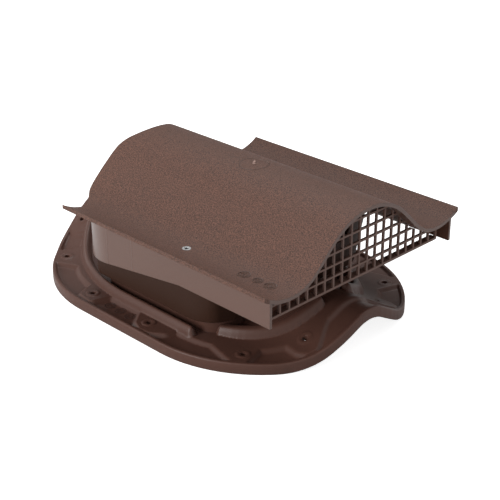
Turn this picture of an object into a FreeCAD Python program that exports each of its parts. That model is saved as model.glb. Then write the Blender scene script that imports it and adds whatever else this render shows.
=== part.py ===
import FreeCAD, Part
import math
import os
import re
import Sketcher

# Roof tile vent for a wave shaped roof: a soft flange with a collar, a duct on the collar, a hood with the
# roof's own wave, and a square mesh under its front edge. Millimetres, Z up, Y up the slope of the roof.
# The origin is the middle of the underside. Angles are in degrees.

SIZES = {
    # hood sheet
    "hood_half_width": 122,
    "hood_front_y": -176.5,
    "hood_back_y": 75,
    "hood_bulge": 25,
    "bulge_foot_x": 95,
    "bulge_head_x": 72,
    "bulge_foot_radius": 6,
    "bulge_head_radius": 20,
    "back_lean_z": 105,
    "back_shoulder_y": 98.5,
    "back_shoulder_z": 125,
    "back_shoulder_radius": 12,
    "back_top_y": 81.1,
    "sheet_thick": 3.2,
    "wave_pitch": 183.3,
    "trough_z": 85,
    "crown_z": 132.5,
    "flank_run": 26,
    "trough_radius": 39,
    "tip_radius": 55,
    # skirt wall under the hood
    "skirt_half_width": 115,
    "skirt_wall": 2.5,
    "skirt_front_inset": 1.5,
    "skirt_back_y": 83.5,
    "skirt_corner_radius": 60,
    "skirt_front_z": 64,
    "skirt_back_z": 43,
    "skirt_kink_y": -70.5,
    # mesh
    "grille_inset": 10,
    "grille_thick": 2,
    "grille_pitch": 10.5,
    "grille_bar": 1.8,
    "grille_columns": 20,
    "grille_rows": 6,
    "grille_post": 1.5,
    "grille_foot_z": 64.8,
    "grille_foot_high": 2.2,
    "grille_foot_deep": 7,
    # flange
    "flange_half_width": 128.5,
    "flange_front_y": -181.5,
    "flange_front_radius": 123,
    "flange_shoulder_radius": 120,
    "flange_nose_y": 181.5,
    "flange_nose_radius": 113,
    "flange_taper": 43,
    "rim_high": 10.5,
    "rim_wide": 4,
    "flange_skin": 4.5,
    "hump_half_width": 61.4,
    "hump_apex": 35.2,
    "hump_radius": 32,
    "hump_foot_radius": 85,
    # fixing holes and the pockets between them
    "hole_radius": 2.6,
    "hole_a_x": 47,
    "hole_a_y": -150.5,
    "hole_a_bearing": -67,
    "hole_b_x": 92,
    "hole_b_y": -122.5,
    "hole_b_bearing": -36,
    "hole_c_x": 112,
    "hole_c_y": -26.5,
    "hole_d_x": 112,
    "hole_d_y": 51.5,
    "hole_e_x": 82,
    "hole_e_y": 129.5,
    "hole_f_x": 36,
    "hole_f_y": 163.5,
    "pocket_deep": 2.5,
    "pocket_rim": 3.5,
    "pocket_reach": 19,
    "pad_tip_half": 8,
    "pad_tip_out": 8,
    "pad_round": 5,
    # raised water lip
    "lip_wide": 10,
    "lip_high": 8,
    "lip_half_width": 100,
    "lip_front_end_y": -71.5,
    "lip_shoulder_radius": 100,
    "lip_taper": 45,
    "lip_nose_y": 155.5,
    "lip_nose_radius": 85,
    "lip_end_radius": 4,
    "front_lip_radius": 91,
    "front_lip_first": 19,
    "front_lip_last": 66,
    # duct and collar
    "duct_half_width": 100,
    "duct_front_y": -94.5,
    "duct_back_y": 67.5,
    "duct_corner_radius": 15,
    "duct_wall": 2.5,
    "duct_foot_z": 25.5,
    "duct_top_z": 75,
    "outlet_half_width": 78,
    "outlet_sill_z": 54,
    "outlet_radius": 12,
    "collar_wall": 3,
    "collar_top_z": 52,
    "fit_clearance": 0.3,
    # screws
    "hood_screw_y": -54.9,
    "screw_head_radius": 4,
    "screw_head_high": 2.4,
    "screw_radius": 1.75,
    "screw_length": 20,
    "screw_clearance": 0.05,
    "boss_radius": 6.2,
}

os.makedirs("parts", exist_ok=True)
doc = FreeCAD.newDocument("roof_tile_vent")
sheet = doc.addObject("Spreadsheet::Sheet", "sizes")
for row, (alias, size) in enumerate(SIZES.items(), start=1):
    sheet.set(f"A{row}", alias)
    sheet.set(f"B{row}", str(size))
    sheet.setAlias(f"B{row}", alias)
doc.recompute()

ALIAS = re.compile(r"\b(" + "|".join(SIZES) + r")\b")


def formula(text):
    """The same sum with each size named as a cell of the sheet."""
    return ALIAS.sub(r"sizes.\1", text)


def number(text):
    """The sum's value now."""
    return float(sheet.evalExpression(text))


def bind(thing, **sums):
    """Ties properties of an object to sums of sizes; a double underscore stands for a dot."""
    for name, text in sums.items():
        thing.setExpression(name.replace("__", "."), formula(text))


def origin_plane(body, role):
    return next(feature for feature in body.Origin.OriginFeatures if feature.Role == role)


def new_body(name):
    return doc.addObject("PartDesign::Body", name)


def new_sketch(body, name, role, offset="0"):
    """An empty sketch parallel to an origin plane of the body, moved along the plane's normal."""
    sketch = body.newObject("Sketcher::SketchObject", name)
    sketch.AttachmentSupport = (origin_plane(body, role), [""])
    sketch.MapMode = "FlatFace"
    bind(sketch, AttachmentOffset__Base__z=offset)
    return sketch


def place(sketch, geometry, vertex, x=None, y=None):
    """Holds a vertex at a place; a sum of 0 puts it on the axis."""
    for kind, axis, text in (("DistanceX", -2, x), ("DistanceY", -1, y)):
        if text == "0":
            sketch.addConstraint(Sketcher.Constraint("PointOnObject", geometry, vertex, axis))
        elif text is not None:
            rule = Sketcher.Constraint(kind, -1, 1, geometry, vertex, number(text))
            sketch.setExpression(f"Constraints[{sketch.addConstraint(rule)}]", formula(text))


def hold_radius(sketch, geometry, text):
    rule = Sketcher.Constraint("Radius", geometry, number(text))
    sketch.setExpression(f"Constraints[{sketch.addConstraint(rule)}]", formula(text))


def join(sketch, kind, first, first_vertex, second, second_vertex):
    sketch.addConstraint(Sketcher.Constraint(kind, first, first_vertex, second, second_vertex))


def add_outline(sketch, corners):
    """A closed outline of straight runs; a corner is (x, y) or (x, y, radius), all of them sums."""
    spots = [FreeCAD.Vector(number(corner[0]), number(corner[1]), 0) for corner in corners]
    radii = [number(corner[2]) if len(corner) > 2 else 0 for corner in corners]
    before, after, centres = [], [], []
    for index, spot in enumerate(spots):
        back = (spots[index - 1] - spot).normalize()
        ahead = (spots[(index + 1) % len(spots)] - spot).normalize()
        half = back.getAngle(ahead) / 2
        before.append(spot + back * (radii[index] / math.tan(half)))
        after.append(spot + ahead * (radii[index] / math.tan(half)))
        centres.append(spot + (back + ahead).normalize() * (radii[index] / math.sin(half)))
    lines = []
    for index in range(len(spots)):
        run = Part.LineSegment(after[index], before[(index + 1) % len(spots)])
        lines.append(sketch.addGeometry(run, False))
    for index, corner in enumerate(corners):
        last, following = lines[index - 1], lines[index]
        if not radii[index]:
            join(sketch, "Coincident", last, 2, following, 1)
            place(sketch, following, 1, corner[0], corner[1])
            continue
        start = before[index] - centres[index]
        end = after[index] - centres[index]
        anticlockwise = start.cross(end).z > 0
        angles = [math.atan2(ray.y, ray.x) for ray in (start, end)]
        if not anticlockwise:
            angles.reverse()
        circle = Part.Circle(centres[index], FreeCAD.Vector(0, 0, 1), radii[index])
        arc = sketch.addGeometry(Part.ArcOfCircle(circle, *angles), False)
        entry, leave = (1, 2) if anticlockwise else (2, 1)
        join(sketch, "Tangent", last, 2, arc, entry)
        join(sketch, "Tangent", arc, leave, following, 1)
        hold_radius(sketch, arc, corner[2])
        tip = sketch.addGeometry(Part.Point(spots[index]), True)
        sketch.addConstraint(Sketcher.Constraint("PointOnObject", tip, 1, last))
        sketch.addConstraint(Sketcher.Constraint("PointOnObject", tip, 1, following))
        place(sketch, tip, 1, corner[0], corner[1])


def mirrored(corners):
    """The same corners on the other side of X = 0, in the order that goes on round the outline."""
    return [("-(" + corner[0] + ")",) + tuple(corner[1:]) for corner in reversed(corners)]


def extrude(body, kind, sketch, name, length, reverse=False):
    """A Pad or Pocket of a sketch; a Pocket has to take material away."""
    body_before = body.Shape.Volume if not body.Shape.isNull() else 0
    feature = body.newObject("PartDesign::" + kind, name)
    feature.Profile = sketch
    feature.Reversed = reverse
    bind(feature, Length=length)
    doc.recompute()
    change = feature.Shape.Volume - body_before
    if (change > 0) != (kind == "Pad"):
        raise RuntimeError(f"{name} changes nothing")
    return feature


def combine(kind, name, base, *others):
    """A boolean of finished solids: Part::Cut and Part::Common take one other, Part::MultiFuse any number."""
    result = doc.addObject(kind, name)
    if kind == "Part::MultiFuse":
        result.Shapes = [base, *others]
    else:
        result.Base = base
        result.Tool = others[0]
    result.Refine = True
    doc.recompute()
    return result


# The crown's radius follows from the pitch and height of the wave, its trough and the straight run of its flank
wave_high = "(crown_z - trough_z)"
crown_radius = (
    f"((wave_pitch * wave_pitch / 4 + {wave_high} * {wave_high} - flank_run * flank_run)"
    f" / (2 * {wave_high}) - trough_radius)"
)


def add_wave(sketch, drop, reach):
    """The roof wave, moved inwards by drop, out to reach on both sides. Returns its two outer arcs."""
    half_pitch = number("wave_pitch / 2")
    trough_centre = number("trough_z + trough_radius")
    crown_centre = number(f"crown_z - {crown_radius}")
    rise = trough_centre - crown_centre
    radii_sum = number(f"{crown_radius} + trough_radius")
    flank = math.atan2(half_pitch, rise) - math.acos(radii_sum / math.hypot(half_pitch, rise))
    crown_size = number(f"{crown_radius} - ({drop})")
    trough_size = number(f"trough_radius + {drop}")
    tip_size = number(f"tip_radius + {drop}")
    lift = math.asin((number(reach) - half_pitch) / tip_size)
    up, down = math.pi / 2, math.pi * 3 / 2

    def arc(x, y, radius, start, end):
        circle = Part.Circle(FreeCAD.Vector(x, y, 0), FreeCAD.Vector(0, 0, 1), radius)
        return sketch.addGeometry(Part.ArcOfCircle(circle, start, end), False)

    crown = arc(0, crown_centre, crown_size, up - flank, up + flank)
    place(sketch, crown, 3, "0", f"crown_z - {crown_radius}")
    hold_radius(sketch, crown, f"{crown_radius} - ({drop})")
    outer = []
    for side in (1, -1):
        sign = "" if side > 0 else "-"
        angles = sorted((down - side * flank, down))
        trough = arc(side * half_pitch, trough_centre, trough_size, *angles)
        angles = sorted((down, down + side * lift))
        tip = arc(side * half_pitch, number("trough_z + tip_radius"), tip_size, *angles)
        normal = FreeCAD.Vector(side * math.sin(flank), math.cos(flank), 0)
        top = FreeCAD.Vector(0, crown_centre, 0) + normal * crown_size
        foot = FreeCAD.Vector(side * half_pitch, trough_centre, 0) - normal * trough_size
        line = sketch.addGeometry(Part.LineSegment(top, foot), False)
        inner_end, outer_end = (1, 2) if side > 0 else (2, 1)
        join(sketch, "Tangent", crown, inner_end, line, 1)
        join(sketch, "Tangent", line, 2, trough, inner_end)
        place(sketch, trough, 3, f"{sign}wave_pitch / 2", "trough_z + trough_radius")
        hold_radius(sketch, trough, f"trough_radius + {drop}")
        place(sketch, trough, outer_end, f"{sign}wave_pitch / 2")
        join(sketch, "Coincident", trough, outer_end, tip, inner_end)
        place(sketch, tip, 3, f"{sign}wave_pitch / 2")
        hold_radius(sketch, tip, f"tip_radius + {drop}")
        place(sketch, tip, outer_end, f"{sign}({reach})")
        outer.append((tip, outer_end))
    return outer


def add_run(sketch, start, end):
    """A straight run between two vertices that are there already."""
    spots = [sketch.getPoint(*vertex) for vertex in (start, end)]
    run = sketch.addGeometry(Part.LineSegment(*spots), False)
    join(sketch, "Coincident", run, 1, *start)
    join(sketch, "Coincident", run, 2, *end)


def close_wave(sketch, ends, reach, level):
    """Closes a wave with two upright runs and a level one, below or above it."""
    heights = [sketch.getPoint(*vertex) for vertex in ends]
    feet = [FreeCAD.Vector(spot.x, number(level), 0) for spot in heights]
    base = sketch.addGeometry(Part.LineSegment(*feet), False)
    place(sketch, base, 1, reach, level)
    place(sketch, base, 2, f"-({reach})", level)
    add_run(sketch, ends[0], (base, 1))
    add_run(sketch, ends[1], (base, 2))


# Hood: a sheet with the wave of the roof, cut to its plan at the back, on a U shaped skirt wall

hood_sheet = new_body("hood_sheet")
section = new_sketch(hood_sheet, "hood_section", "XZ_Plane", "-hood_front_y")
upper = add_wave(section, "0", "hood_half_width")
lower = add_wave(section, "sheet_thick", "hood_half_width")
for upper_end, lower_end in zip(upper, lower):
    add_run(section, upper_end, lower_end)
extrude(hood_sheet, "Pad", section, "hood_run", "hood_back_y + hood_bulge - hood_front_y", reverse=True)

margin = "sheet_thick * 2"
back_half = [
    (f"hood_half_width + {margin}", f"hood_back_y + hood_bulge + {margin}"),
    (f"hood_half_width + {margin}", "hood_back_y"),
    ("bulge_foot_x", "hood_back_y", "bulge_foot_radius"),
    ("bulge_head_x", "hood_back_y + hood_bulge", "bulge_head_radius"),
]
back_cut = new_sketch(hood_sheet, "hood_back_cut", "XY_Plane", f"crown_z + {margin}")
add_outline(back_cut, back_half + mirrored(back_half))
extrude(hood_sheet, "Pocket", back_cut, "hood_back_edge", f"crown_z + {margin}")
back_lean = new_sketch(hood_sheet, "hood_back_lean", "YZ_Plane", "hood_half_width")
add_outline(back_lean, [
    (f"hood_back_y + hood_bulge + {margin}", "back_lean_z"),
    ("hood_back_y + hood_bulge", "back_lean_z"),
    ("back_shoulder_y", "back_shoulder_z", "back_shoulder_radius"),
    ("back_top_y", f"crown_z + {margin}"),
    (f"hood_back_y + hood_bulge + {margin}", f"crown_z + {margin}"),
])
extrude(hood_sheet, "Pocket", back_lean, "hood_crest_edge", "hood_half_width * 2")

skirt = new_body("skirt")
skirt_half = [
    ("skirt_half_width", "hood_front_y + skirt_front_inset"),
    ("skirt_half_width", "skirt_back_y", "skirt_corner_radius"),
]
skirt_return = [
    ("skirt_half_width - skirt_wall", "skirt_back_y - skirt_wall", "skirt_corner_radius - skirt_wall"),
    ("skirt_half_width - skirt_wall", "hood_front_y + skirt_front_inset"),
]
skirt_plan = new_sketch(skirt, "skirt_plan", "XY_Plane", "skirt_back_z")
add_outline(skirt_plan, skirt_half + mirrored(skirt_half) + mirrored(skirt_return) + skirt_return)
extrude(skirt, "Pad", skirt_plan, "skirt_wall_run", "crown_z - skirt_back_z")
skirt_top = new_sketch(skirt, "skirt_top", "XZ_Plane", f"{margin} - hood_front_y")
close_wave(skirt_top, add_wave(skirt_top, "sheet_thick / 2", "hood_half_width"), "hood_half_width",
           f"crown_z + {margin}")
extrude(skirt, "Pocket", skirt_top, "skirt_under_sheet", f"skirt_back_y - hood_front_y + 2 * {margin}")
skirt_edge = new_sketch(skirt, "skirt_edge", "YZ_Plane", "hood_half_width")
add_outline(skirt_edge, [
    (f"hood_front_y - {margin}", f"skirt_back_z - {margin}"),
    (f"skirt_back_y + {margin}", f"skirt_back_z - {margin}"),
    (f"skirt_back_y + {margin}", "skirt_back_z"),
    ("skirt_back_y", "skirt_back_z"),
    ("skirt_kink_y", "skirt_front_z"),
    (f"hood_front_y - {margin}", "skirt_front_z"),
])
extrude(skirt, "Pocket", skirt_edge, "skirt_lower_edge", "hood_half_width * 2")
hood_moulding = combine("Part::MultiFuse", "hood_moulding", hood_sheet, skirt)


def both_sides(maker, name):
    """A compound of two equal solids, right and left."""
    pair = doc.addObject("Part::Compound", name)
    pair.Links = [maker(f"{name}_right", ""), maker(f"{name}_left", "-")]
    doc.recompute()
    return pair


def countersunk(name, sign, grow="0", mouth=None):
    """A countersunk screw with its head flush with the trough, or the hole for it, open above to a height."""
    head = doc.addObject("Part::Cone", f"{name}_head")
    bind(head, Radius1=f"screw_radius + {grow}", Radius2=f"screw_head_radius + {grow}")
    bind(head, Height="screw_head_high", Placement__Base__z="trough_z - screw_head_high")
    shank = doc.addObject("Part::Cylinder", f"{name}_shank")
    bind(shank, Radius=f"screw_radius + {grow}", Height="screw_length")
    bind(shank, Placement__Base__z="trough_z - screw_length")
    pieces = [head, shank]
    if mouth:
        pieces.append(doc.addObject("Part::Cylinder", f"{name}_mouth"))
        bind(pieces[-1], Radius=f"screw_head_radius + {grow}", Height=mouth, Placement__Base__z="trough_z")
    for piece in pieces:
        bind(piece, Placement__Base__x=f"{sign}wave_pitch / 2", Placement__Base__y="hood_screw_y")
    return combine("Part::MultiFuse", name, *pieces)


def screw_hole(name, sign):
    return countersunk(name, sign, "screw_clearance", "sheet_thick")


hood_screws = both_sides(countersunk, "hood_screws")
hood_screw_holes = both_sides(screw_hole, "hood_screw_holes")
hood = combine("Part::Cut", "hood", hood_moulding, hood_screw_holes)

# Mesh: a thin plate that fills the wave over a foot bar, cut through by a square pattern of openings

outlet_grille = new_body("outlet_grille")
grille_reach = "grille_columns * grille_pitch / 2 + grille_post"
grille_drop = "(sheet_thick + fit_clearance)"
grille_front = "hood_front_y + grille_inset"
plate = new_sketch(outlet_grille, "grille_plate", "XZ_Plane", f"-({grille_front})")
close_wave(plate, add_wave(plate, grille_drop, grille_reach), grille_reach, "grille_foot_z")
extrude(outlet_grille, "Pad", plate, "grille_sheet", "grille_thick", reverse=True)
opening = new_sketch(outlet_grille, "grille_opening", "XZ_Plane", f"{margin} - ({grille_front})")
opening_left = "-grille_columns * grille_pitch / 2 + grille_bar / 2"
opening_right = "-grille_columns * grille_pitch / 2 + grille_pitch - grille_bar / 2"
opening_low = "grille_foot_z + grille_foot_high"
opening_high = "grille_foot_z + grille_foot_high + grille_pitch - grille_bar"
add_outline(opening, [
    (opening_left, opening_low),
    (opening_right, opening_low),
    (opening_right, opening_high),
    (opening_left, opening_high),
])
opening_depth = f"grille_thick + 2 * {margin}"
first_opening = extrude(outlet_grille, "Pocket", opening, "grille_first_opening", opening_depth)
mesh = outlet_grille.newObject("PartDesign::MultiTransform", "grille_mesh")
mesh.Originals = [first_opening]
directions = []
for name, axis, count in (("across", "H_Axis", "grille_columns"), ("upward", "V_Axis", "grille_rows")):
    row = outlet_grille.newObject("PartDesign::LinearPattern", f"grille_{name}")
    row.Direction = (opening, [axis])
    bind(row, Occurrences=count, Length=f"grille_pitch * ({count} - 1)")
    directions.append(row)
mesh.Transformations = directions
outlet_grille.Tip = mesh
doc.recompute()
foot = new_sketch(outlet_grille, "grille_foot", "XZ_Plane", f"-({grille_front})")
add_outline(foot, [
    (f"-({grille_reach})", "grille_foot_z"),
    (grille_reach, "grille_foot_z"),
    (grille_reach, "grille_foot_z + grille_foot_high"),
    (f"-({grille_reach})", "grille_foot_z + grille_foot_high"),
])
extrude(outlet_grille, "Pad", foot, "grille_foot_bar", "grille_foot_deep", reverse=True)

# Flange: a skin with a rim, humped along the middle as the roof is, with pockets between the fixing pads

flange_apex = "flange_nose_y + flange_nose_radius * (1 / cos(flange_taper) - 1)"


def flange_plan(inset):
    """The egg shaped plan of the flange, moved inwards."""
    side = [
        (f"flange_half_width - {inset}", f"flange_front_y + {inset}", f"flange_front_radius - {inset}"),
        (f"flange_half_width - {inset}",
         f"{flange_apex} - flange_half_width * tan(flange_taper) - {inset} * tan(45 - flange_taper / 2)",
         f"flange_shoulder_radius - {inset}"),
    ]
    nose = ("0", f"{flange_apex} - {inset} / cos(flange_taper)", f"flange_nose_radius - {inset}")
    return side + [nose] + mirrored(side)


def humped_slab(name, low, high):
    """A body with a slab between two levels that follows the hump, longer and wider than the flange."""
    body = new_body(name)
    right = [
        ("hump_half_width", low, "hump_foot_radius"),
        (f"flange_half_width + {margin}", low),
    ]
    right_top = [
        (f"flange_half_width + {margin}", high),
        ("hump_half_width", high, "hump_foot_radius"),
    ]
    crest = ("0", f"{low} + hump_apex", "hump_radius")
    crest_top = ("0", f"{high} + hump_apex", "hump_radius")
    section = new_sketch(body, f"{name}_section", "XZ_Plane", f"{margin} - flange_front_y")
    add_outline(section, [crest] + right + right_top + [crest_top] + mirrored(right_top) + mirrored(right))
    extrude(body, "Pad", section, f"{name}_run", f"flange_nose_y - flange_front_y + 2 * {margin}", reverse=True)
    return body


slab_top = f"rim_high + lip_high + hump_apex + {margin}"
slab_cut = f"{slab_top} + 2 * {margin}"
below_hump = f"-({margin} + hump_apex)"


def keep_inside(body, name, outlines):
    """Cuts away all of a slab that lies outside the outlines."""
    frame_half = f"flange_half_width + 2 * {margin}"
    frame_back = f"flange_nose_y + 2 * {margin}"
    frame_front = f"flange_front_y - 2 * {margin}"
    sketch = new_sketch(body, name, "XY_Plane", slab_top)
    add_outline(sketch, [
        (f"-({frame_half})", frame_front),
        (frame_half, frame_front),
        (frame_half, frame_back),
        (f"-({frame_half})", frame_back),
    ])
    for corners in outlines:
        add_outline(sketch, corners)
    extrude(body, "Pocket", sketch, f"{name}_cut", slab_cut)


def duct_plan(inset):
    """The rounded rectangle of the duct, moved inwards."""
    side = [
        (f"duct_half_width - ({inset})", f"duct_front_y + ({inset})", f"duct_corner_radius - ({inset})"),
        (f"duct_half_width - ({inset})", f"duct_back_y - ({inset})", f"duct_corner_radius - ({inset})"),
    ]
    return side + mirrored(side)


def turned(letter, bearing, out, along):
    """A place seen from a fixing hole: so far out to the rim, so far along it."""
    return (
        f"hole_{letter}_x + ({out}) * cos({bearing}) - ({along}) * sin({bearing})",
        f"hole_{letter}_y + ({out}) * sin({bearing}) + ({along}) * cos({bearing})",
    )


# Which way the rim lies from each fixing hole on the right hand side
RIM_BEARINGS = {
    "a": "hole_a_bearing",
    "b": "hole_b_bearing",
    "c": "0",
    "d": "0",
    "e": "90 - flange_taper",
    "f": "90 - flange_taper / 2",
}
collar_inset = "duct_wall + fit_clearance"
opening_inset = "duct_wall + fit_clearance + collar_wall"

flange_skin = humped_slab("flange_skin", "0", "rim_high")
keep_inside(flange_skin, "flange_edge", [flange_plan("0")])
through = new_sketch(flange_skin, "flange_openings", "XY_Plane", slab_top)
add_outline(through, duct_plan(opening_inset))
for letter in RIM_BEARINGS:
    for sign in ("", "-"):
        spot = FreeCAD.Vector(number(f"{sign}hole_{letter}_x"), number(f"hole_{letter}_y"), 0)
        ring = Part.Circle(spot, FreeCAD.Vector(0, 0, 1), number("hole_radius"))
        circle = through.addGeometry(ring, False)
        place(through, circle, 3, f"{sign}hole_{letter}_x", f"hole_{letter}_y")
        hold_radius(through, circle, "hole_radius")
extrude(flange_skin, "Pocket", through, "flange_through", slab_cut)

flange_hollow = humped_slab("flange_hollow", below_hump, "rim_high - flange_skin")
keep_inside(flange_hollow, "flange_hollow_edge", [flange_plan("rim_wide")])

flange_pockets = humped_slab("flange_pockets", "rim_high - pocket_deep", f"rim_high + {margin}")
keep_inside(flange_pockets, "pocket_outer_edge", [flange_plan("pocket_rim")])
pocket_pads = new_sketch(flange_pockets, "pocket_pads", "XY_Plane", slab_top)
add_outline(pocket_pads, flange_plan("pocket_reach"))
extrude(flange_pockets, "Pocket", pocket_pads, "pocket_inner_edge", slab_cut)
pad_root_half = "pad_tip_half + pad_tip_out + pocket_reach"
for letter, bearing in RIM_BEARINGS.items():
    pad = [
        turned(letter, bearing, "2 * pocket_reach", "-pad_tip_half"),
        turned(letter, bearing, "2 * pocket_reach", "pad_tip_half"),
        turned(letter, bearing, "pad_tip_out", "pad_tip_half") + ("pad_round",),
        turned(letter, bearing, "-pocket_reach", pad_root_half),
        turned(letter, bearing, "-pocket_reach", f"-({pad_root_half})"),
        turned(letter, bearing, "pad_tip_out", "-pad_tip_half") + ("pad_round",),
    ]
    pad_plan = new_sketch(flange_pockets, f"pad_{letter}", "XY_Plane", slab_top)
    add_outline(pad_plan, pad)
    add_outline(pad_plan, mirrored(pad))
    extrude(flange_pockets, "Pocket", pad_plan, f"pad_{letter}_keep", slab_cut)

# Raised lip that keeps water off the opening: one long run round the sides and back, two short ones in front

lip_apex = "lip_nose_y + lip_nose_radius * (1 / cos(lip_taper) - 1)"


def lip_side(shift):
    """One edge of the long run, right hand side first, moved outwards by shift."""
    side = [
        (f"lip_half_width + {shift}", "lip_front_end_y", "lip_end_radius"),
        (f"lip_half_width + {shift}",
         f"{lip_apex} - lip_half_width * tan(lip_taper) + {shift} * tan(45 - lip_taper / 2)",
         f"lip_shoulder_radius + {shift}"),
    ]
    nose = ("0", f"{lip_apex} + {shift} / cos(lip_taper)", f"lip_nose_radius + {shift}")
    return side + [nose] + mirrored(side)


def front_spot(bearing, out, along):
    """A place on the front of the egg: a bearing from straight ahead, so far out, so far along the curve."""
    return (
        f"({out}) * sin({bearing}) + ({along}) * cos({bearing})",
        f"flange_front_y + flange_front_radius - ({out}) * cos({bearing}) + ({along}) * sin({bearing})",
    )


def front_side(shift):
    """One edge of a front run, from its first bearing to its last, moved outwards by shift."""
    radius = f"front_lip_radius + {shift}"
    apex = f"({radius}) / cos((front_lip_last - front_lip_first) / 2)"
    return [
        front_spot("front_lip_first", radius, "-2 * lip_end_radius") + ("lip_end_radius",),
        front_spot("(front_lip_first + front_lip_last) / 2", apex, "0") + (radius,),
        front_spot("front_lip_last", radius, "2 * lip_end_radius") + ("lip_end_radius",),
    ]


front_run = front_side("lip_wide / 2") + list(reversed(front_side("-lip_wide / 2")))
long_run = lip_side("lip_wide / 2") + list(reversed(lip_side("-lip_wide / 2")))
water_lip = humped_slab("water_lip", "rim_high - flange_skin / 2", "rim_high + lip_high")
keep_inside(water_lip, "water_lip_edge", [long_run, front_run, mirrored(front_run)])

# Collar: an upright ring round the opening that the duct is pressed over

collar_neck = new_body("collar_neck")
neck = new_sketch(collar_neck, "collar_neck_plan", "XY_Plane", "rim_high - flange_skin")
add_outline(neck, duct_plan(collar_inset))
add_outline(neck, duct_plan(opening_inset))
extrude(collar_neck, "Pad", neck, "collar_neck_ring", "collar_top_z - (rim_high - flange_skin)")

# Duct: a sleeve over the collar that stands on the hump, low in front for the air, with two screw bosses

duct = new_body("duct")
sleeve = new_sketch(duct, "duct_sleeve_plan", "XY_Plane", "duct_foot_z")
add_outline(sleeve, duct_plan("0"))
add_outline(sleeve, duct_plan("duct_wall"))
extrude(duct, "Pad", sleeve, "duct_sleeve", "duct_top_z - duct_foot_z")
outlet = new_sketch(duct, "duct_outlet_plan", "XZ_Plane", f"{margin} - duct_front_y")
add_outline(outlet, [
    ("-outlet_half_width", "outlet_sill_z", "outlet_radius"),
    ("outlet_half_width", "outlet_sill_z", "outlet_radius"),
    ("outlet_half_width", f"duct_top_z + {margin}"),
    ("-outlet_half_width", f"duct_top_z + {margin}"),
])
extrude(duct, "Pocket", outlet, "duct_outlet", f"duct_corner_radius + {margin}")
boss_foot = "collar_top_z + duct_wall"
boss_top = "trough_z - sheet_thick - fit_clearance"
bosses = new_sketch(duct, "duct_boss_plan", "XY_Plane", boss_foot)
for sign in ("", "-"):
    spot = FreeCAD.Vector(number(f"{sign}wave_pitch / 2"), number("hood_screw_y"), 0)
    circle = bosses.addGeometry(Part.Circle(spot, FreeCAD.Vector(0, 0, 1), number("boss_radius")), False)
    place(bosses, circle, 3, f"{sign}wave_pitch / 2", "hood_screw_y")
    hold_radius(bosses, circle, "boss_radius")
extrude(duct, "Pad", bosses, "duct_bosses", f"{boss_top} - ({boss_foot})")
duct_seat = humped_slab("duct_seat", below_hump, "rim_high")

flange_recessed = combine("Part::Cut", "flange_recessed", flange_skin, flange_hollow)
flange_embossed = combine("Part::Cut", "flange_embossed", flange_recessed, flange_pockets)
collar_cleared = combine("Part::Cut", "collar_cleared", collar_neck, flange_hollow)
flange_base = combine("Part::MultiFuse", "flange_base", flange_embossed, water_lip, collar_cleared)
duct_seated = combine("Part::Cut", "duct_seated", duct, duct_seat)
inner_duct = combine("Part::Cut", "inner_duct", duct_seated, hood_screw_holes)

# Every object has to be sound before a file is written

for thing in doc.Objects:
    if "Invalid" in thing.State or "Error" in thing.State:
        raise RuntimeError(f"{thing.Name} failed: {thing.State}")
SUB_PARTS = {
    flange_base: 1,
    inner_duct: 1,
    hood: 1,
    outlet_grille: 1,
    hood_screws: 2,
}
for piece, solids in SUB_PARTS.items():
    piece.Label = piece.Name
    if piece.Shape.isNull() or not piece.Shape.isValid() or len(piece.Shape.Solids) != solids:
        raise RuntimeError(f"{piece.Label} is not sound: {len(piece.Shape.Solids)} solids")
for piece in SUB_PARTS:
    piece.Shape.exportStep(os.path.join("parts", piece.Label + ".step"))
    box = piece.Shape.BoundBox
    lengths = [round(length, 2) for length in (box.XLength, box.YLength, box.ZLength)]
    print(piece.Label, round(piece.Shape.Volume), lengths)
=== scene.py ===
import math

import bmesh
import bpy
import numpy as np
from mathutils import Matrix, Vector
from mathutils.bvhtree import BVHTree


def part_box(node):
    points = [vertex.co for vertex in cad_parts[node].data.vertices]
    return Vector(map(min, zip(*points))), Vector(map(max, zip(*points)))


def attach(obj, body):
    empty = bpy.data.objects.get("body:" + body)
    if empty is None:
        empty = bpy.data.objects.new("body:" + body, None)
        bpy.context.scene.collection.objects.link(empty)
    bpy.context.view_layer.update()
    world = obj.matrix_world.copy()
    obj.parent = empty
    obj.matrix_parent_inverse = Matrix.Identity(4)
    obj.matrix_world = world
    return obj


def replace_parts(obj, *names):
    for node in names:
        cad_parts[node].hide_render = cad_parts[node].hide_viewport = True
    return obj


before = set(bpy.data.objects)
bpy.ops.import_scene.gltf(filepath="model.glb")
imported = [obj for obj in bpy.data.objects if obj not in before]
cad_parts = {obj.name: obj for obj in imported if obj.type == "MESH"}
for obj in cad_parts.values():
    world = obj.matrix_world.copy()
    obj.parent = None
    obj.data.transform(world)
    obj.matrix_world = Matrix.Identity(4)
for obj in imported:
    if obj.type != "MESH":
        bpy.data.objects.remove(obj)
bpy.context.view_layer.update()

# Studio: a wide white floor that fills the whole picture, a soft light overhead, a tall soft light on the
# left that draws the bright streak on the skirt's rounded corner, a dark card out of view behind the right
# hand side that keeps the tops deep in tone, and a white room for the plastic to mirror.

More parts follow.
